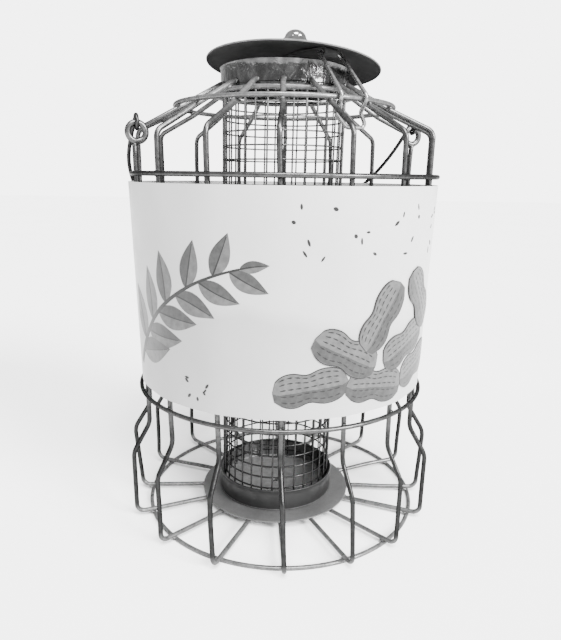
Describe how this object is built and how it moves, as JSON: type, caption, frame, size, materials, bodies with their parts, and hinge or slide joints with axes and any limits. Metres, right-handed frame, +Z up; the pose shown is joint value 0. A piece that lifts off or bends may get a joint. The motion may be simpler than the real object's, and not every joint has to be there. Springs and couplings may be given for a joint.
{
  "type": "caged nut bird feeder",
  "caption": "Round wire-cage bird feeder with an inner mesh tube on a tray, a tilted hinged lid with a cap nut, a swinging bail handle and a card sleeve",
  "frame": {"origin": "centre of the foot ring's underside, on the cage's axis, where the feeder stands", "axes": "+Z up along the cage's axis, front faces -Y, +X to the right seen from the front"},
  "size_m": [0.2276, 0.2276, 0.3339],
  "materials": {
    "cage steel": "satin dark grey coated wire",
    "bare steel": "bright drawn wire",
    "plate steel": "matte grey coated sheet",
    "tray steel": "satin dark coated sheet",
    "mesh steel": "satin dark welded mesh",
    "collar steel": "glossy grey rolled sheet",
    "lid steel": "satin near-black coated sheet",
    "chrome": "polished",
    "card": null
  },
  "bodies": {
    "cage": {"cage_wire_01": "cage steel", "cage_wire_02": "cage steel", "cage_wire_03": "cage steel", "cage_wire_04": "cage steel", "cage_wire_05": "cage steel", "cage_wire_06": "cage steel", "cage_wire_07": "cage steel", "cage_wire_08": "cage steel", "cage_wire_09": "cage steel", "cage_wire_10": "cage steel", "cage_wire_11": "cage steel", "cage_wire_12": "cage steel", "cage_wire_13": "cage steel", "cage_wire_14": "cage steel", "cage_wire_15": "cage steel", "cage_wire_16": "cage steel", "roof_spur_left": "cage steel", "roof_spur_right": "cage steel", "handle_eye_left": "cage steel", "handle_eye_right": "cage steel", "foot_ring": "cage steel", "lower_ring": "cage steel", "upper_ring": "cage steel", "dome_ring": "cage steel", "neck_ring": "cage steel", "base_plate": "plate steel", "tray": "tray steel", "mesh_tube": "mesh steel", "collar": "collar steel", "card_sleeve": "card"},
    "bail": {"bail_handle": "bare steel"},
    "loop": {"lid_loop": "bare steel"},
    "lid": {"lid": "lid steel", "cap_nut": "chrome", "lid_screw": "chrome", "lid_strap": "lid steel"}
  },
  "joints": [
    {"name": "bail_swing", "type": "hinge", "parent": "cage", "child": "bail", "pos_m": [0.0006, -0.00164, 0.27619], "axis": [0.9383, 0.3452, 0.02], "range_deg": [0, 247]},
    {"name": "loop_swing", "type": "hinge", "parent": "cage", "child": "loop", "pos_m": [0.03703, -0.06163, 0.28669], "axis": [0.8572, 0.515, 0], "range_deg": [0, 75]},
    {"name": "lid_tilt", "type": "hinge", "parent": "loop", "child": "lid", "pos_m": [0.02627, -0.03772, 0.31401], "axis": [0.8557, 0.5092, -0.0924], "range_deg": [0, 30]}
  ]
}
